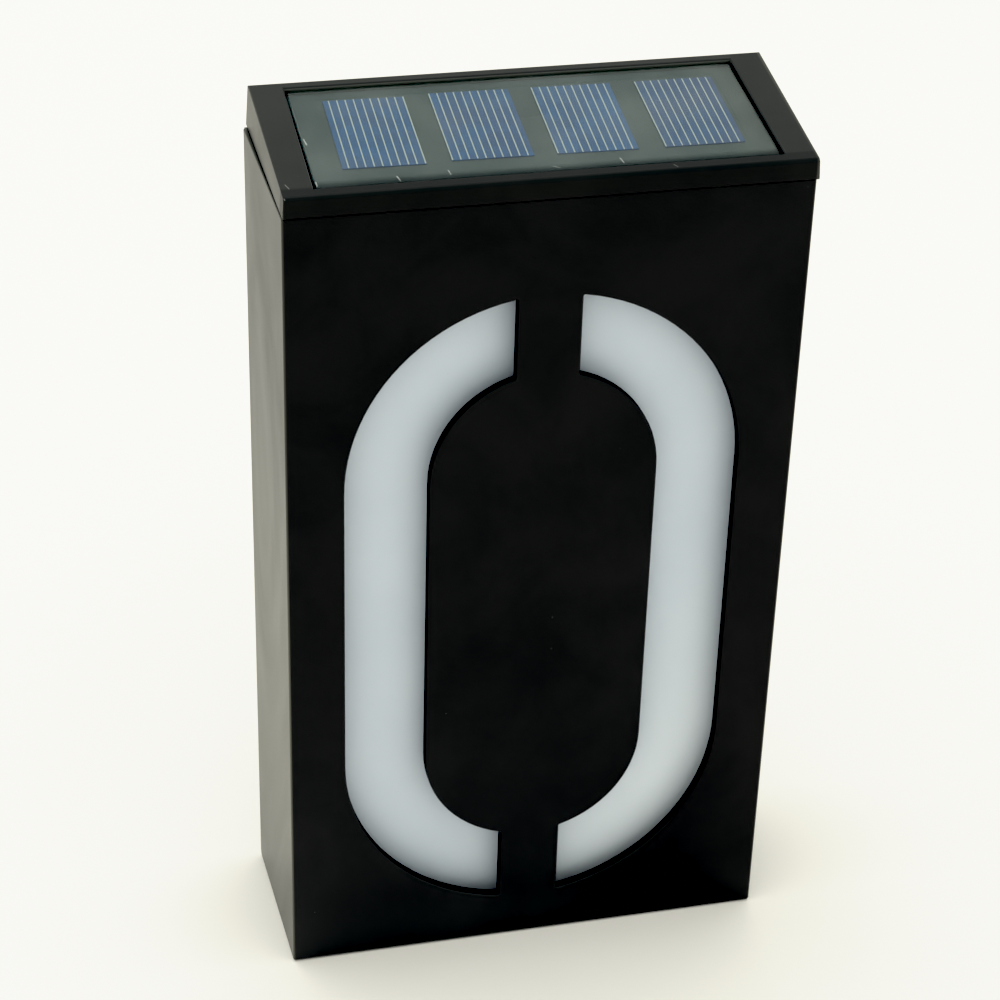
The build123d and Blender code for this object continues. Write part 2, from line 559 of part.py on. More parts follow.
board = panel_slab(hb0 + 0.03, hb1)
for sx in (-1, 1):
    board -= LP * (Pos(sx * solder_x, 23.5, hb0) * Cylinder(0.45, 4))
parts["solar_board"] = board

pad = slab(LP, pl + 1.5, pr1 - 1.5, ps0 + 1.2, ps1 - 1.2, hb0 - pad_t + 0.03, hb0 - 0.02)
pad -= slab(LP, -10.0, 10.0, 18.0, 29.0, hb0 - 2, hb0 + 2)
parts["panel_adhesive"] = pad

cells, fingers = [], []
for cx, cs, turn, first, count in zip(cell_x, cell_s, cell_turn, finger_first, finger_count):
    at = Pos(cx, cs, 0) * Rot(0, 0, turn)
    cells.append(LP * (at * Pos(0, 0, hb1 + 0.02 + cell_t / 2) * Box(cell_w, cell_l, cell_t)))
    for i in range(count):
        fx = -cell_w / 2 + first + i * finger_pitch
        fx = min(max(fx, -cell_w / 2 + finger_w / 2 + 0.01), cell_w / 2 - finger_w / 2 - 0.01)
        fingers.append(LP * (at * Pos(fx, 0, hb1 + 0.03 + cell_t + 0.02) * Box(finger_w, cell_l - 0.1, 0.04)))
parts["solar_cells"] = Compound(children=cells)
parts["cell_grid_lines"] = Compound(children=fingers)

resin = panel_slab(hb1 + 0.02, -panel_drop)
face_n = Vector(0, -sin(lid_a), cos(lid_a))
resin_rim = [e for e in resin.edges()
             if abs((e.center() - Vector(0, lid_y0, lid_zf)).dot(face_n) + panel_drop) < 0.02
             and (e.center().Y - lid_y0) / cos(lid_a) > ps0 + corner_r + 0.3]
resin = fillet(resin_rim, 0.35)
# the front edge is domed, as the resin draws back when it sets
roll = slab(LP, pl - 1, pr0 + 1, ps0 - 1, ps0 + dome_l, hb1 - 0.5, 1)
roll -= LP * (Pos(0, ps0 + dome_l, -panel_drop - dome_r) * Rot(0, 90, 0) * Cylinder(dome_r, 120))
resin -= roll
resin -= slab(LP, -38.6, 39.6, 8.2, 34.2, hb1 - 1, hb1 + cell_t + 0.14)
parts["panel_resin"] = resin

# ---------------------------------------------------------------- wiring
wire_r = 0.65
solder_list = []
pads_y = board_y0 - 0.05
for name, sx in (("solar_lead_positive", -1), ("solar_lead_negative", 1)):
    x = sx * solder_x
    top = lid_point(x, 23.5, hb0 - 0.15)
    start = Vector(x, top.Y, top.Z - 0.35)
    pts = [tuple(start), (x, start.Y, 121.0), (x, pads_y - 0.05, 121.0)]
    parts[name] = lead([pts[0], pts[1], pts[2]], wire_r, 2.4)
    solder_list.append(solder((x, pads_y, 121.0), (0, -1, 0), wire_r + 0.05))
    solder_list.append(solder((x, top.Y, top.Z + 0.0), (0, 0, -1), wire_r + 0.05, h=0.8))
for name, sx in (("battery_lead_positive", 1), ("battery_lead_negative", -1)):
    # lies against the contact tail, then crosses to the board
    x = sx * (28.45 + wire_r + 0.03)
    parts[name] = lead([(x, 17.6, bay_z - 1.5), (x, 17.6, 99.5), (sx * 16.0, 17.6, 99.5), (sx * 16.0, pads_y - 0.05, 99.5)], wire_r, 2.4)
    solder_list.append(solder((sx * 16.0, pads_y, 99.5), (0, -1, 0), wire_r + 0.05))
for name, sx in (("led_lead_positive", 1), ("led_lead_negative", -1)):
    x = sx * 3.2
    parts[name] = lead([(x, tray_y1 + 1.65, 132.5), (x, 21.2, 132.5), (x, 21.2, 113.5), (x, pads_y - 0.05, 113.5)], wire_r, 2.2)
    solder_list.append(solder((x, pads_y, 113.5), (0, -1, 0), wire_r + 0.05))
    solder_list.append(solder((x, tray_y1 + 1.55, 132.5), (0, 1, 0), wire_r + 0.05))
parts["solder_joints"] = Compound(children=solder_list)

# ---------------------------------------------------------------- write
for name, shape in parts.items():
    solids = [Pos(0, y_shift, z_shift) * s for s in shape.solids()]
    moved = solids[0] if len(solids) == 1 else Compound(children=solids)
    moved.label = name
    export_step(moved, f"parts/{name}.step")
    bb = moved.bounding_box()
    print(f"{name:26s} solids {len(moved.solids()):3d} volume {moved.volume:10.1f} "
          f"x {bb.min.X:7.2f} {bb.max.X:7.2f} y {bb.min.Y:7.2f} {bb.max.Y:7.2f} z {bb.min.Z:7.2f} {bb.max.Z:7.2f}")
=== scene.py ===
# Looks for the illuminated house number sign. Metres, same frame as the CAD:
# +X right, +Y into the wall, +Z up, origin at the middle of the flat base.
import math

import bmesh
import bpy
from mathutils import Matrix, Vector

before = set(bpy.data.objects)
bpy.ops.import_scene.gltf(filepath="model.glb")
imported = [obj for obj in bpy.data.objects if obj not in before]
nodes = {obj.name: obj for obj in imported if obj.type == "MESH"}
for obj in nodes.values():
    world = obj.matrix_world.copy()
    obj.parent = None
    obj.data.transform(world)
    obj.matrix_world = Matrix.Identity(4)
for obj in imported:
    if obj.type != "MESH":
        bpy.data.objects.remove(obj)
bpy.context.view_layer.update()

mm = 0.001

# lid plane: x across, s up the slope, h out of the face
RAISE = 0.3  # height of the layout zero over the underside
LID_Y0, LID_ZF = -0.4 - 18.8, 175.17 + RAISE
LID_A = math.atan2(181.09 - 175.17, 38.0 + 0.4)


def lid_pt(x, s, h=0.0):
    return Vector((x, LID_Y0 + s * math.cos(LID_A) - h * math.sin(LID_A),
                   LID_ZF + s * math.sin(LID_A) + h * math.cos(LID_A))) * mm


# ------------------------------------------------------------ node tree helper
class Tree:
    def __init__(self, name):
        self.mat = bpy.data.materials.new(name)
        self.mat.use_nodes = True
        self.nt = self.mat.node_tree
        self.nt.nodes.clear()
        self.out = self.nt.nodes.new("ShaderNodeOutputMaterial")
        self.tex = self.nt.nodes.new("ShaderNodeTexCoord")
        self.obj = self.tex.outputs["Object"]

    def new(self, kind, **props):
        n = self.nt.nodes.new(kind)
        for k, v in props.items():
            setattr(n, k, v)
        return n

    def put(self, socket, value):
        if isinstance(value, bpy.types.NodeSocket):
            self.nt.links.new(value, socket)
        elif isinstance(value, (tuple, list)) and len(value) == 3 and socket.type == "RGBA":
            socket.default_value = (*value, 1.0)
        else:
            socket.default_value = value

    def mapping(self, scale=(1, 1, 1), rot=(0, 0, 0), loc=(0, 0, 0), vec=None):
        n = self.new("ShaderNodeMapping")
        self.put(n.inputs["Vector"], vec or self.obj)
        n.inputs["Scale"].default_value = scale
        n.inputs["Rotation"].default_value = rot
        n.inputs["Location"].default_value = loc
        return n.outputs[0]

    def noise(self, scale, detail=3.0, rough=0.5, vec=None, dist=0.0, color=False):
        n = self.new("ShaderNodeTexNoise")
        self.put(n.inputs["Vector"], vec or self.obj)
        n.inputs["Scale"].default_value = scale
        n.inputs["Detail"].default_value = detail
        n.inputs["Roughness"].default_value = rough
        n.inputs["Distortion"].default_value = dist
        return n.outputs["Color" if color else "Fac"]

    def voronoi(self, scale, feature="F1", vec=None, rand=1.0, out="Distance"):
        n = self.new("ShaderNodeTexVoronoi", feature=feature)
        self.put(n.inputs["Vector"], vec or self.obj)
        n.inputs["Scale"].default_value = scale
        n.inputs["Randomness"].default_value = rand
        return n.outputs[out]

    def ramp(self, fac, stops, interp="LINEAR"):
        n = self.new("ShaderNodeValToRGB")
        n.color_ramp.interpolation = interp
        e = n.color_ramp.elements
        while len(e) < len(stops):
            e.new(0.5)
        for i, (p, c) in enumerate(stops):
            e[i].position = p
            e[i].color = (*c, 1.0) if isinstance(c, (tuple, list)) else (c, c, c, 1.0)
        self.put(n.inputs["Fac"], fac)
        return n.outputs["Color"]

    def range(self, v, a, b, c=0.0, d=1.0, smooth=False):
        n = self.new("ShaderNodeMapRange", interpolation_type="SMOOTHSTEP" if smooth else "LINEAR")
        self.put(n.inputs["Value"], v)
        for k, x in zip(("From Min", "From Max", "To Min", "To Max"), (a, b, c, d)):
            n.inputs[k].default_value = x
        return n.outputs["Result"]

    def math(self, op, a, b=0.0, clamp=False):
        n = self.new("ShaderNodeMath", operation=op, use_clamp=clamp)
        self.put(n.inputs[0], a)
        self.put(n.inputs[1], b)
        return n.outputs[0]

    def vmath(self, op, a, b=(0, 0, 0)):
        n = self.new("ShaderNodeVectorMath", operation=op)
        self.put(n.inputs[0], a)
        if op == "SCALE":
            self.put(n.inputs["Scale"], b)
        else:
            self.put(n.inputs[1], b)
        return n.outputs["Value" if op in ("DOT_PRODUCT", "LENGTH", "DISTANCE") else "Vector"]

    def mix(self, fac, a, b, blend="MIX"):
        n = self.new("ShaderNodeMix", data_type="RGBA", blend_type=blend)
        self.put(n.inputs[0], fac)
        self.put(n.inputs[6], a)
        self.put(n.inputs[7], b)
        return n.outputs[2]

    def bump(self, height, strength, distance, normal=None):
        n = self.new("ShaderNodeBump")
        n.inputs["Strength"].default_value = strength
        n.inputs["Distance"].default_value = distance
        self.put(n.inputs["Height"], height)
        if normal is not None:
            self.put(n.inputs["Normal"], normal)
        return n.outputs[0]

    def segment(self, p0, p1, width):
        # 1 on a thin stroke between two points of the surface, 0 elsewhere
        p0, p1 = ((Vector(p) + Vector((0, 0, RAISE))) * mm for p in (p0, p1))
        d = p1 - p0
        rel = self.vmath("SUBTRACT", self.obj, tuple(p0))
        along = self.math("DIVIDE", self.vmath("DOT_PRODUCT", rel, tuple(d)), d.length_squared, clamp=True)
        near = self.vmath("SUBTRACT", rel, self.vmath("SCALE", tuple(d), along))
        return self.range(self.vmath("LENGTH", near), width * 0.35 * mm, width * mm, 1.0, 0.0, smooth=True)

    def most(self, values):
        v = values[0]
        for x in values[1:]:
            v = self.math("MAXIMUM", v, x)
        return v

    def principled(self, **inputs):
        n = self.new("ShaderNodeBsdfPrincipled")
        for k, v in inputs.items():
            self.put(n.inputs[k.replace("_", " ")], v)
        return n

    def done(self, shader):
        self.nt.links.new(shader, self.out.inputs["Surface"])
        return self.mat


def specks(t, scale, size, share, offset=0.0):
    # sparse round dust grains; share is the part of the cells that hold one
    vec = t.mapping(loc=(offset, offset * 1.7, offset * 0.6))
    dist = t.voronoi(scale, vec=vec)
    pick = t.voronoi(scale, vec=vec, out="Color")
    sep = t.new("ShaderNodeSeparateColor")
    t.put(sep.inputs[0], pick)
    on = t.range(sep.outputs[0], 1.0 - share, 1.0 - share + 0.002)
    return t.math("MULTIPLY", on, t.range(dist, size * 0.4, size, 1.0, 0.0))


# ------------------------------------------------------------------- materials
def moulded(name, base, base2, rough=0.45, spec=0.5, grain=5200.0, grain_depth=0.010, dust=0.5, marks=(), smudge=0.06, mark_light=0.5, cut_y=None, lighter_low_down=0.0, painted_side_sheen=None, shaded_back_edge=(18.0, 18.4), wall_band_and_painted_shade=False):
    t = Tree(name)
    mott = t.noise(38.0, 4.0, 0.6, dist=0.4)
    fine = t.noise(grain, 2.0, 0.55)
    colour = t.mix(t.range(mott, 0.35, 0.68, smooth=True), base, base2)
    dustmask = t.most([specks(t, 330.0, 0.030, 0.07), specks(t, 170.0, 0.016, 0.12, 0.013)])
    dirt = t.math("MULTIPLY", dustmask, dust)
    strokes = [t.segment(*m) for m in marks]
    if strokes:
        dirt = t.most([dirt, t.math("MULTIPLY", t.most(strokes), mark_light)])
    sep = t.new("ShaderNodeSeparateXYZ")
    t.put(sep.inputs[0], t.obj)
    if lighter_low_down:
        # the shell is mixed towards a lighter grey low down, more on the left, and more again in a thin strip just
        # above the base
        low = t.math("MULTIPLY", t.range(sep.outputs[2], 0.0, 0.075, lighter_low_down, 0.0, smooth=True),
                     t.range(sep.outputs[0], -0.02, 0.045, 1.0, 0.0, smooth=True))
        low = t.math("ADD", low, t.range(sep.outputs[2], 0.004, 0.016, 0.010, 0.0, smooth=True))
        colour = t.mix(low, colour, (0.36, 0.37, 0.37))
    colour = t.mix(dirt, colour, (0.42, 0.43, 0.42))
    wipe = t.noise(24.0, 3.0, 0.6, vec=t.mapping(scale=(1, 1, 0.4), rot=(0.2, 0.5, 0.1)), dist=1.2)
    r = t.math("ADD", t.range(wipe, 0.3, 0.7, rough - smudge, rough + smudge), t.range(fine, 0.2, 0.8, -0.03, 0.03), clamp=True)
    nrm = t.bump(fine, 0.35, grain_depth * mm)
    nrm = t.bump(t.noise(55.0, 1.0, 0.4), 0.25, 0.05 * mm, nrm)
    b = t.principled(Base_Color=colour, Roughness=r, Specular_IOR_Level=spec, Normal=nrm, IOR=1.45)
    skin = b.outputs[0]
    if painted_side_sheen:
        # painted sheen: a glossy layer is mixed onto the flat sides by height from a table, strongest in the lower
        # middle where they mirror the bright floor; painted shade: it is left off along their back edge, which stays
        # darker
        across = t.range(t.math("ABSOLUTE", sep.outputs[0]), 0.0497, 0.0500)
        level = t.ramp(t.range(sep.outputs[2], 0.0, 0.2), painted_side_sheen)
        edge = t.range(sep.outputs[1], shaded_back_edge[0] * mm, shaded_back_edge[1] * mm, 1.0, 0.0, smooth=True)
        gloss = t.new("ShaderNodeBsdfAnisotropic")
        t.put(gloss.inputs["Color"], (1.0, 1.0, 0.86))
        t.put(gloss.inputs["Roughness"], 0.25)
        t.put(gloss.inputs["Normal"], nrm)
        painted_sheen_mix = t.new("ShaderNodeMixShader")
        t.put(painted_sheen_mix.inputs[0], t.math("MULTIPLY", t.math("MULTIPLY", across, edge), level))
        t.put(painted_sheen_mix.inputs[1], skin)
        t.put(painted_sheen_mix.inputs[2], gloss.outputs[0])
        skin = painted_sheen_mix.outputs[0]
    if wall_band_and_painted_shade:
        # a lighter grey band along the foot of the recess's back wall, under the lid face
        drop = t.math("SUBTRACT", t.math("MULTIPLY", sep.outputs[2], math.cos(LID_A)), t.math("MULTIPLY", sep.outputs[1], math.sin(LID_A)))
        face = (LID_ZF * math.cos(LID_A) - LID_Y0 * math.sin(LID_A)) * mm
        wall = t.math("MULTIPLY", t.range(drop, face - 0.30 * mm, face - 0.12 * mm, 1.0, 0.0),
                      t.range(sep.outputs[1], 0.0160, 0.0166))
        wall = t.math("MULTIPLY", wall, t.range(sep.outputs[1], 0.0177, 0.0180, 1.0, 0.0))
        wall = t.math("MULTIPLY", wall, t.range(t.math("ABSOLUTE", sep.outputs[0]), 0.0440, 0.0445, 1.0, 0.0))
        colour = t.mix(wall, colour, (0.070, 0.072, 0.066))
        t.put(b.inputs["Base Color"], colour)
        # painted shade: along the front strip and the right of the lid the surface is mixed towards a matt diffuse,
        # so it mirrors less and reads darker
        front = t.range(sep.outputs[1], -0.0167, -0.0157, 0.25, 0.0, smooth=True)
        right = t.range(sep.outputs[0], 0.0438, 0.0445, 0.0, 0.10, smooth=True)
        top = t.range(sep.outputs[1], -0.0191, -0.0186, 0.0, 1.0)
        flat = t.new("ShaderNodeBsdfDiffuse")
        t.put(flat.inputs["Color"], colour)
        painted_shade_mix = t.new("ShaderNodeMixShader")
        t.put(painted_shade_mix.inputs[0], t.math("MULTIPLY", t.math("MAXIMUM", front, right), top))
        t.put(painted_shade_mix.inputs[1], skin)
        t.put(painted_shade_mix.inputs[2], flat.outputs[0])
        skin = painted_shade_mix.outputs[0]
    if not cut_y:
        return t.done(skin)
    # the cut sides of the openings stay matt
    inner = t.math("MULTIPLY", t.range(sep.outputs[1], cut_y[0] * mm, (cut_y[0] + 0.15) * mm),
                   t.range(sep.outputs[1], cut_y[1] * mm, (cut_y[1] + 0.05) * mm, 1.0, 0.0))
    inner = t.math("MULTIPLY", inner, t.range(t.math("ABSOLUTE", sep.outputs[0]), 0.044, 0.045, 1.0, 0.0))
    matt = t.new("ShaderNodeBsdfDiffuse")
    t.put(matt.inputs["Color"], colour)
    both = t.new("ShaderNodeMixShader")
    t.put(both.inputs[0], t.math("MULTIPLY", inner, 0.9))
    t.put(both.inputs[1], skin)
    t.put(both.inputs[2], matt.outputs[0])
    return t.done(both.outputs[0])


def opal():
    t = Tree("opal_sheet")
    cloud = t.noise(60.0, 3.0, 0.5)
    colour = t.mix(t.range(cloud, 0.3, 0.7), (0.59, 0.642, 0.722), (0.615, 0.667, 0.747))
    colour = t.mix(t.math("MULTIPLY", specks(t, 280.0, 0.03, 0.08), 0.4), colour, (0.35, 0.34, 0.32))
    # painted light: the sheet is made lighter towards the lower right, where more light reaches it
    sep = t.new("ShaderNodeSeparateXYZ")
    t.put(sep.inputs[0], t.obj)
    across = t.math("SUBTRACT", sep.outputs[0], t.math("MULTIPLY", sep.outputs[2], 0.7))
    colour = t.mix(t.range(across, -0.035, 0.025, 0.0, 0.42, smooth=True), colour, (0.90, 0.94, 0.97))
    nrm = t.bump(t.noise(900.0, 2.0, 0.5), 0.15, 0.02 * mm)
    r = t.range(t.noise(40.0, 2.0, 0.5), 0.3, 0.7, 0.30, 0.40)
    b = t.principled(Base_Color=colour, Roughness=r, Normal=nrm, Specular_IOR_Level=0.4,
                     Subsurface_Weight=0.35, Subsurface_Scale=0.0012)
    b.inputs["Subsurface Radius"].default_value = (0.9, 0.95, 1.0)
    return t.done(b.outputs[0])


def resin(flecks):
    # clear potting: what lies under shows straight through, and the face mirrors by Fresnel
    t = Tree("potting_resin")
    wave = t.noise(45.0, 2.0, 0.4)
    nrm = t.bump(wave, 0.15, 0.03 * mm)
    outer = t.math("SUBTRACT", 1.0, t.new("ShaderNodeNewGeometry").outputs["Backfacing"])
    mirror = t.new("ShaderNodeBsdfAnisotropic")
    t.put(mirror.inputs["Color"], (0.93, 0.97, 0.98))
    t.put(mirror.inputs["Roughness"], t.range(t.noise(30.0, 3.0, 0.6), 0.3, 0.7, 0.10, 0.17))
    t.put(mirror.inputs["Normal"], nrm)
    clear = t.new("ShaderNodeBsdfTransparent")
    clear.inputs["Color"].default_value = (0.90, 0.95, 0.94, 1)
    fres = t.new("ShaderNodeFresnel")
    fres.inputs["IOR"].default_value = 1.46
    t.put(fres.inputs["Normal"], nrm)
    body = t.new("ShaderNodeMixShader")
    t.put(body.inputs[0], t.math("MULTIPLY", fres.outputs[0], outer))
    t.put(body.inputs[1], clear.outputs[0])
    t.put(body.inputs[2], mirror.outputs[0])
    dust = t.new("ShaderNodeBsdfDiffuse")
    dust.inputs["Color"].default_value = (0.75, 0.77, 0.78, 1)
    grains = t.most([specks(t, 480.0, 0.05, 0.10), specks(t, 230.0, 0.03, 0.16, 0.021)])
    haze = t.range(t.noise(70.0, 4.0, 0.6), 0.35, 0.75, 0.0, 0.045)
    mask = t.most([t.math("MULTIPLY", grains, 0.45), haze, t.math("MULTIPLY", t.most([t.segment(*s) for s in flecks]), 0.55)])
    full = t.new("ShaderNodeMixShader")
    t.put(full.inputs[0], t.math("MULTIPLY", mask, outer))
    t.put(full.inputs[1], body.outputs[0])
    t.put(full.inputs[2], dust.outputs[0])
    sep = t.new("ShaderNodeSeparateXYZ")
    t.put(sep.inputs[0], t.obj)
    # painted shade: the front edge of the resin, and a band fading back from it, are mixed towards a near-black matt
    line = t.range(sep.outputs[1], -0.01530, -0.01490, 0.88, 0.0, smooth=True)
    dome = t.range(sep.outputs[1], -0.01520, -0.01290, 0.44, 0.0, smooth=True)
    painted_front_shade = t.new("ShaderNodeBsdfDiffuse")
    painted_front_shade.inputs["Color"].default_value = (0.004, 0.0045, 0.005, 1)
    front = t.new("ShaderNodeMixShader")
    t.put(front.inputs[0], t.math("MULTIPLY", t.math("MAXIMUM", line, dome), outer))
    t.put(front.inputs[1], full.outputs[0])
    t.put(front.inputs[2], painted_front_shade.outputs[0])
    return t.done(front.outputs[0])


def silicon():
    t = Tree("silicon_cells")
    grains = t.voronoi(420.0, vec=t.mapping(scale=(1, 0.8, 1)), out="Color")
    sep = t.new("ShaderNodeSeparateColor")
    t.put(sep.inputs[0], grains)
    c = t.mix(t.range(sep.outputs[0], 0.0, 1.0), (0.014, 0.056, 0.175), (0.022, 0.084, 0.235))
    c = t.mix(t.range(t.noise(140.0, 3.0, 0.6), 0.35, 0.75, 0.0, 0.45), c, (0.030, 0.052, 0.140))
    # faint violet patch as some cells show
    c = t.mix(t.range(t.noise(48.0, 2.0, 0.5, vec=t.mapping(loc=(0.013, 0, 0))), 0.55, 0.75, 0.0, 0.4), c, (0.050, 0.050, 0.140))
    side = t.new("ShaderNodeSeparateXYZ")
    t.put(side.inputs[0], t.obj)
    c = t.mix(t.range(side.outputs[0], 0.0225, 0.0240, 0.0, 0.30), c, (0.055, 0.050, 0.120))
    r = t.range(sep.outputs[1], 0.0, 1.0, 0.28, 0.42)
    nrm = t.bump(t.noise(2600.0, 2.0, 0.5), 0.25, 0.004 * mm)
    b = t.principled(Base_Color=c, Roughness=r, Normal=nrm, Specular_IOR_Level=0.3)
    return t.done(b.outputs[0])


def printed_silver():
    t = Tree("printed_silver")
    n = t.noise(2400.0, 3.0, 0.6)
    c = t.mix(n, (0.40, 0.375, 0.37), (0.57, 0.54, 0.52))
    b = t.principled(Base_Color=c, Roughness=t.range(n, 0.2, 0.8, 0.45, 0.65), Metallic=0.25, Normal=t.bump(n, 0.5, 0.01 * mm))
    return t.done(b.outputs[0])


def board(name, mask_colour, mask_dark, copper, pads=True):
    # solder mask over tracks: a bent grid of fine lines lightens and lifts it
    t = Tree(name)
    vec = t.mapping(scale=(1, 1, 1), rot=(0, 0, 0))
    cells = t.voronoi(230.0, feature="DISTANCE_TO_EDGE", vec=vec, rand=0.35)
    track = t.range(cells, 0.05, 0.09, 1.0, 0.0, smooth=True)
    weave = t.noise(1900.0, 2.0, 0.6)
    c = t.mix(t.range(t.noise(80.0, 3.0, 0.5), 0.35, 0.7), mask_colour, mask_dark)
    c = t.mix(t.math("MULTIPLY", track, 0.35), c, copper)
    c = t.mix(t.range(weave, 0.45, 0.7, 0.0, 0.12), c, mask_dark)
    h = t.math("ADD", t.math("MULTIPLY", track, 0.7), t.math("MULTIPLY", weave, 0.25))
    b = t.principled(Base_Color=c, Roughness=t.range(weave, 0.2, 0.8, 0.30, 0.45), Normal=t.bump(h, 0.4, 0.03 * mm))
    return t.done(b.outputs[0])


def panel_board():
    t = Tree("panel_board")
    weave = t.noise(1500.0, 2.0, 0.5)
    c = t.mix(t.range(t.noise(70.0, 4.0, 0.6), 0.3, 0.7), (0.055, 0.060, 0.063), (0.067, 0.073, 0.076))
    c = t.mix(t.range(weave, 0.45, 0.75, 0.0, 0.08), c, (0.090, 0.098, 0.100))
    # painted shade: near its front edge the board is darkened almost to black, under the resin's front
    sep = t.new("ShaderNodeSeparateXYZ")
    t.put(sep.inputs[0], t.obj)
    c = t.mix(t.range(sep.outputs[0], 0.034, 0.042, 0.0, 0.7, smooth=True), c, (0.073, 0.068, 0.064))
    c = t.mix(t.range(sep.outputs[1], -0.0158, -0.0129, 0.95, 0.0, smooth=True), c, (0.006, 0.008, 0.009))
    b = t.principled(Base_Color=c, Roughness=0.6, Specular_IOR_Level=0.2, Normal=t.bump(weave, 0.05, 0.003 * mm))
    return t.done(b.outputs[0])


def metal(name, c1, c2, rough, brushed=(1, 1, 1), scale=900.0, spots=0.0):
    t = Tree(name)
    n = t.noise(scale, 3.0, 0.6, vec=t.mapping(scale=brushed))
    c = t.mix(t.range(n, 0.3, 0.7), c1, c2)
    if spots:
        c = t.mix(t.range(t.noise(320.0, 3.0, 0.7), 0.60, 0.75, 0.0, spots), c, (0.16, 0.13, 0.10))
    b = t.principled(Base_Color=c, Metallic=1.0, Roughness=t.range(n, 0.3, 0.7, rough - 0.07, rough + 0.09),
                     Normal=t.bump(n, 0.35, 0.012 * mm))
    return t.done(b.outputs[0])


def soft(name, c1, c2, rough=0.8, scale=1500.0, depth=0.03, pores=False):
    t = Tree(name)
    n = t.voronoi(scale, vec=t.obj) if pores else t.noise(scale, 3.0, 0.6)
    c = t.mix(t.range(n, 0.2, 0.8), c1, c2)
    c = t.mix(t.math("MULTIPLY", specks(t, 600.0, 0.05, 0.1), 0.4), c, (0.30, 0.30, 0.29))
    b = t.principled(Base_Color=c, Roughness=t.range(n, 0.2, 0.8, rough - 0.08, rough + 0.05), Specular_IOR_Level=0.3,
                     Normal=t.bump(n, 0.5, depth * mm))
    return t.done(b.outputs[0])


def sheathed(name, c1, c2, rough=0.38):
    t = Tree(name)
    n = t.noise(700.0, 2.0, 0.5, vec=t.mapping(scale=(1, 1, 0.25)))
    c = t.mix(t.range(n, 0.3, 0.7), c1, c2)
    b = t.principled(Base_Color=c, Roughness=t.range(n, 0.3, 0.7, rough - 0.05, rough + 0.08), Normal=t.bump(n, 0.3, 0.02 * mm))
    return t.done(b.outputs[0])


def lamp_lens():
    t = Tree("lamp_lens")
    n = t.noise(500.0, 2.0, 0.5)
    b = t.principled(Base_Color=t.mix(n, (0.86, 0.85, 0.74), (0.95, 0.94, 0.88)), Roughness=t.range(n, 0.3, 0.7, 0.06, 0.14),
                     Normal=t.bump(n, 0.15, 0.02 * mm), Transmission_Weight=0.7, IOR=1.5)
    return t.done(b.outputs[0])


# blemishes that show on the panel, the lid and the left side
panel_flecks = [
    ((-28.16, -13.53, 175.32), (-27.68, -15.24, 175.06), 0.17),
    ((-42.66, 0.73, 177.48), (-42.44, -1.17, 177.19), 0.18),
    ((13.63, -12.85, 175.42), (13.96, -14.41, 175.19), 0.14),
    ((-16.06, 17.95, 180.09), (-15.70, 16.45, 179.86), 0.12),
    ((-38.15, 11.40, 179.10), (-37.85, 9.96, 178.88), 0.11),
    ((0.71, -13.85, 175.27), (2.10, -14.70, 175.14), 0.09),
    ((-18.58, -12.65, 175.45), (-18.36, -14.17, 175.22), 0.11),
    ((-31.84, 16.90, 179.93), (-29.6, 17.10, 179.96), 0.09),
    ((-23.84, 1.22, 177.55), (-22.9, 0.75, 177.48), 0.08),
    ((-42.95, -13.45, 175.33), (-42.90, -15.10, 175.08), 0.16),
]
lid_marks = [
    ((-48.69, -14.77, 175.84), (-48.20, -16.13, 175.64), 0.14),
    ((22.58, -17.4, 175.43), (23.12, -18.2, 175.30), 0.11),
    ((-49.60, -18.95, 175.19), (-49.50, -19.05, 174.90), 0.16),
]
side_marks = [
    ((-50.20, -12.0, 49.0), (-50.22, -10.8, 44.0), 0.11),
    ((-50.22, -9.5, 40.0), (-50.24, -8.9, 36.5), 0.09),
    ((-50.9, 6.0, 95.0), (-50.93, 7.2, 92.5), 0.10),
]

shell_black = moulded("shell_black", (0.0038, 0.0040, 0.0039), (0.0062, 0.0065, 0.0062), rough=0.36, spec=0.5, marks=side_marks, mark_light=0.4, cut_y=(-18.65, -16.85), lighter_low_down=0.024,
                     painted_side_sheen=((0.0, 0.070), (0.07, 0.082), (0.26, 0.105), (0.36, 0.108), (0.62, 0.052), (0.95, 0.042)))
lid_black = moulded("lid_black", (0.0040, 0.0044, 0.0040), (0.0066, 0.0072, 0.0064), rough=0.36, spec=0.5, marks=lid_marks, mark_light=0.28,
                   painted_side_sheen=((0.0, 0.050), (1.0, 0.050)), shaded_back_edge=(18.6, 19.0), wall_band_and_painted_shade=True)
cover_black = moulded("cover_black", (0.0050, 0.0052, 0.0053), (0.0085, 0.0088, 0.0088), rough=0.50, spec=0.5, grain=3600.0, grain_depth=0.03)
knob_black = moulded("knob_black", (0.006, 0.006, 0.006), (0.010, 0.010, 0.010), rough=0.36, spec=0.5, grain=7000.0)
white_tray = moulded("white_tray", (0.78, 0.78, 0.76), (0.84, 0.84, 0.83), rough=0.38, spec=0.5, dust=0.1)
rubber = soft("seal_rubber", (0.010, 0.010, 0.010), (0.022, 0.022, 0.022))
foam = soft("foam_pad", (0.016, 0.016, 0.017), (0.045, 0.045, 0.046), 0.92, 1700.0, 0.12, pores=True)
steel = metal("zinc_steel", (0.52, 0.53, 0.55), (0.66, 0.66, 0.67), 0.34, (1, 1, 1), 900.0, spots=0.35)
nickel = metal("nickel", (0.60, 0.59, 0.55), (0.72, 0.71, 0.67), 0.24, (1, 0.2, 1), 1200.0)
can_metal = metal("capacitor_can", (0.58, 0.58, 0.60), (0.70, 0.70, 0.72), 0.30, (1, 0.1, 1), 1500.0)
tin = metal("tin_solder", (0.58, 0.58, 0.58), (0.74, 0.74, 0.73), 0.26, (1, 1, 1), 600.0)
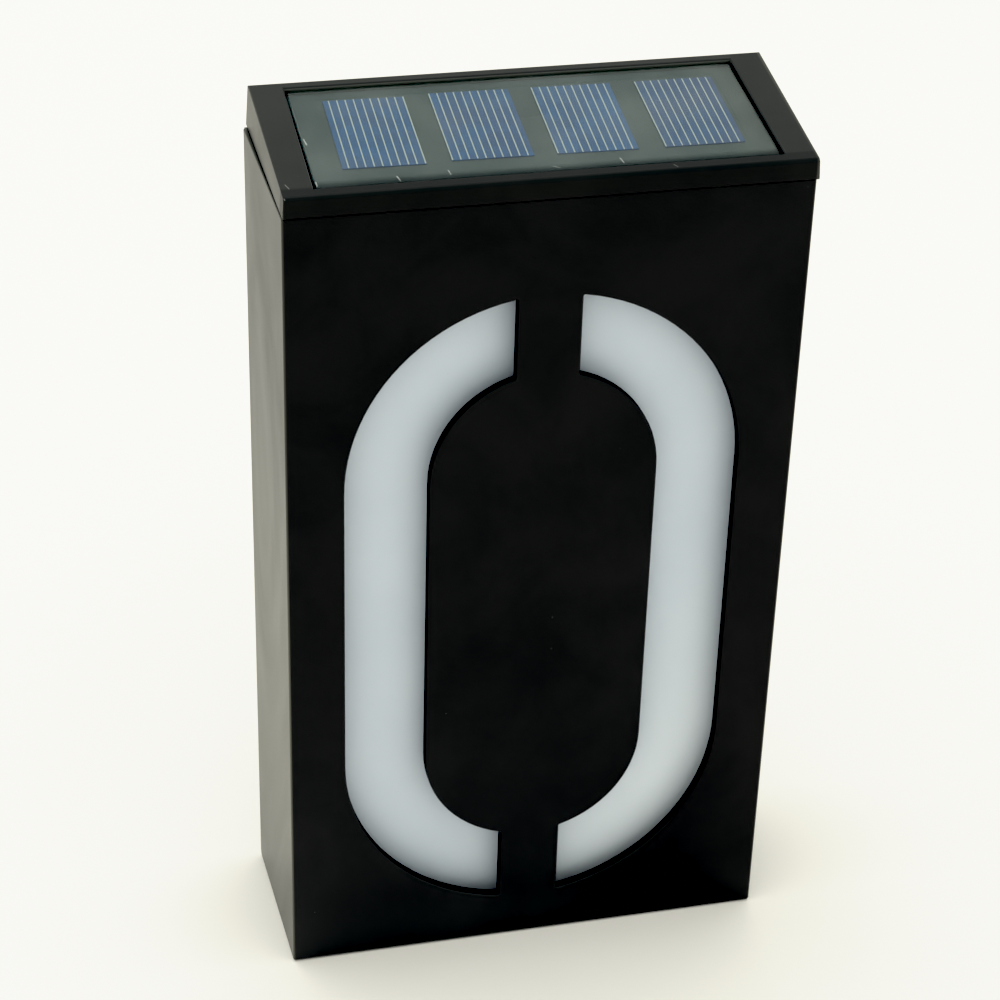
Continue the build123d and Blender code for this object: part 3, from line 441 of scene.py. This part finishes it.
package = soft("moulded_package", (0.014, 0.014, 0.015), (0.026, 0.026, 0.027), 0.62, 2600.0, 0.015)
ferrite = soft("ferrite", (0.050, 0.050, 0.052), (0.085, 0.084, 0.083), 0.66, 1800.0, 0.03)
wire_red = sheathed("wire_red", (0.42, 0.018, 0.014), (0.52, 0.030, 0.022))
wire_black = sheathed("wire_black", (0.010, 0.010, 0.010), (0.020, 0.020, 0.020))
sleeve = sheathed("shrink_sleeve", (0.045, 0.22, 0.10), (0.065, 0.27, 0.13), 0.30)

look = {
    "housing_shell": shell_black, "solar_lid": lid_black, "rear_cover": cover_black, "battery_door": cover_black,
    "switch_knob": knob_black, "diffuser_panel": opal(), "reflector_tray": white_tray,
    "panel_resin": resin(panel_flecks), "solar_board": panel_board(), "solar_cells": silicon(), "cell_grid_lines": printed_silver(),
    "panel_adhesive": foam, "lid_gasket": rubber, "rear_gasket": rubber, "battery_door_gasket": rubber,
    "tray_screws": steel, "led_board_screws": steel, "rear_cover_screws": steel, "battery_door_screws": steel,
    "control_board_screws": steel, "lid_screws": steel, "switch_body": nickel, "battery_cell": nickel,
    "contact_plate_positive": nickel, "contact_spring_negative": nickel, "battery_sleeve": sleeve,
    "led_board": board("lamp_board", (0.70, 0.71, 0.70), (0.62, 0.63, 0.62), (0.80, 0.80, 0.78)),
    "control_board": board("control_board", (0.018, 0.110, 0.045), (0.012, 0.075, 0.032), (0.060, 0.230, 0.090)),
    "leds": lamp_lens(), "driver_chip": package, "board_resistors": package, "inductor": ferrite,
    "smoothing_capacitor": can_metal, "solder_joints": tin,
    "solar_lead_positive": wire_red, "battery_lead_positive": wire_red, "led_lead_positive": wire_red,
    "solar_lead_negative": wire_black, "battery_lead_negative": wire_black, "led_lead_negative": wire_black,
}

# edge breaks, in mm, on the nodes whose edges show
breaks = {
    "housing_shell": 0.16, "solar_lid": 0.12, "rear_cover": 0.15, "battery_door": 0.15, "switch_knob": 0.08,
    "rear_cover_screws": 0.06, "battery_door_screws": 0.06, "reflector_tray": 0.15, "control_board": 0.1,
    "solar_board": 0.08, "switch_body": 0.08, "led_board": 0.08,
}

def smooth_by_angle(limit):
    # geometry nodes: smooth faces, edges sharper than the limit kept sharp
    g = bpy.data.node_groups.new("smooth_by_edge_angle", "GeometryNodeTree")
    g.interface.new_socket("Geometry", in_out="INPUT", socket_type="NodeSocketGeometry")
    g.interface.new_socket("Geometry", in_out="OUTPUT", socket_type="NodeSocketGeometry")
    start, end = g.nodes.new("NodeGroupInput"), g.nodes.new("NodeGroupOutput")
    angle = g.nodes.new("GeometryNodeInputMeshEdgeAngle")
    over = g.nodes.new("FunctionNodeCompare")
    over.data_type, over.operation = "FLOAT", "GREATER_THAN"
    over.inputs[1].default_value = limit
    faces, edges = g.nodes.new("GeometryNodeSetShadeSmooth"), g.nodes.new("GeometryNodeSetShadeSmooth")
    faces.domain, edges.domain = "FACE", "EDGE"
    faces.inputs["Shade Smooth"].default_value = True
    edges.inputs["Shade Smooth"].default_value = False
    g.links.new(start.outputs[0], faces.inputs["Geometry"])
    g.links.new(faces.outputs[0], edges.inputs["Geometry"])
    g.links.new(angle.outputs["Unsigned Angle"], over.inputs[0])
    g.links.new(over.outputs[0], edges.inputs["Selection"])
    g.links.new(edges.outputs[0], end.inputs[0])
    return g


by_angle = smooth_by_angle(math.radians(32))

for name, o in nodes.items():
    o.data.materials.clear()
    o.data.materials.append(look[name])
    for p in o.data.polygons:
        p.use_smooth = True
    weld = o.modifiers.new("weld", "WELD")
    weld.merge_threshold = 2e-6
    if name in breaks:
        bev = o.modifiers.new("edge_break", "BEVEL")
        bev.width = breaks[name] * mm
        bev.segments = 2
        bev.limit_method = "ANGLE"
        bev.angle_limit = math.radians(40)
        bev.use_clamp_overlap = True
    smooth = o.modifiers.new("smooth_by_angle", "NODES")
    smooth.node_group = by_angle
    even = o.modifiers.new("even_normals", "WEIGHTED_NORMAL")
    even.keep_sharp = True

# ---------------------------------------------------------------------- stage
floor_mesh = bpy.data.meshes.new("floor")
bm = bmesh.new()
bmesh.ops.create_grid(bm, x_segments=2, y_segments=2, size=3.0)
bm.to_mesh(floor_mesh)
bm.free()
floor = bpy.data.objects.new("floor", floor_mesh)
bpy.context.scene.collection.objects.link(floor)
floor.location = (0, 0, -0.00002)
t = Tree("floor_paper")
paper = t.mix(t.range(t.noise(3.0, 3.0, 0.5), 0.3, 0.7), (0.89, 0.85, 0.83), (0.905, 0.865, 0.845))
floor_mesh.materials.append(t.done(t.principled(Base_Color=paper, Roughness=0.75, Specular_IOR_Level=0.2).outputs[0]))

scene = bpy.context.scene
world = bpy.data.worlds.new("studio")
world.use_nodes = True
scene.world = world
bg = world.node_tree.nodes["Background"]
bg.inputs["Color"].default_value = (1.0, 1.03, 0.93, 1)
bg.inputs["Strength"].default_value = 1.15


def softbox(name, at, target, size, power, colour=(1, 1, 1)):
    light = bpy.data.lights.new(name, "AREA")
    light.shape = "RECTANGLE"
    light.size, light.size_y = size
    light.energy = power
    light.color = colour
    ob = bpy.data.objects.new(name, light)
    scene.collection.objects.link(ob)
    ob.location = at
    ob.rotation_mode = "QUATERNION"
    ob.rotation_quaternion = (Vector(target) - Vector(at)).to_track_quat("-Z", "Y")
    return ob


softbox("overhead", (-0.35, 0.25, 1.95), (0, 0.0, 0.0), (1.6, 1.3), 9.0, (0.97, 1.0, 0.96))

# --------------------------------------------------------------------- camera
# placed where the edges of the sign in the photograph say it stood
az, el, roll = (math.radians(v) for v in (14.347, 31.084, 1.784))
back = Vector((-math.sin(az) * math.cos(el), -math.cos(az) * math.cos(el), math.sin(el)))
right = (-back).cross(Vector((0, 0, 1))).normalized()
up = right.cross(-back)
right_r = right * math.cos(roll) + up * math.sin(roll)
up_r = -right * math.sin(roll) + up * math.cos(roll)
cam_data = bpy.data.cameras.new("camera")
cam_data.sensor_width = 36.0
cam_data.sensor_fit = "HORIZONTAL"
cam_data.lens = 36.0 * 2.684738
cam_data.clip_start, cam_data.clip_end = 0.01, 20.0
cam = bpy.data.objects.new("camera", cam_data)
scene.collection.objects.link(cam)
place = Matrix((right_r, up_r, back)).transposed().to_4x4()
place.translation = Vector((-118.181, -447.437, 375.048 + RAISE)) * mm
cam.matrix_world = place
scene.camera = cam

scene.view_settings.view_transform = "Standard"
scene.view_settings.look = "None"
# contrast of the photograph: a full exposure with its blacks cut above zero
# and a soft shoulder under white
scene.view_settings.use_curve_mapping = True
tone = scene.view_settings.curve_mapping
tone.black_level = (0.0428, 0.0423, 0.0372)
tone.white_level = (1.4, 1.4, 1.4)
tone.extend = "HORIZONTAL"
shoulder = tone.curves[3]
for at, to in ((0.56, 0.759), (0.64, 0.862), (0.71, 0.908), (0.78, 0.937), (0.86, 0.955)):
    shoulder.points.new(at, to)
shoulder.points[len(shoulder.points) - 1].location = (1.0, 0.975)
shoulder.points[0].handle_type = "VECTOR"
shoulder.points[1].handle_type = "VECTOR"
tone.update()
scene.cycles.max_bounces = 10
scene.cycles.transparent_max_bounces = 12
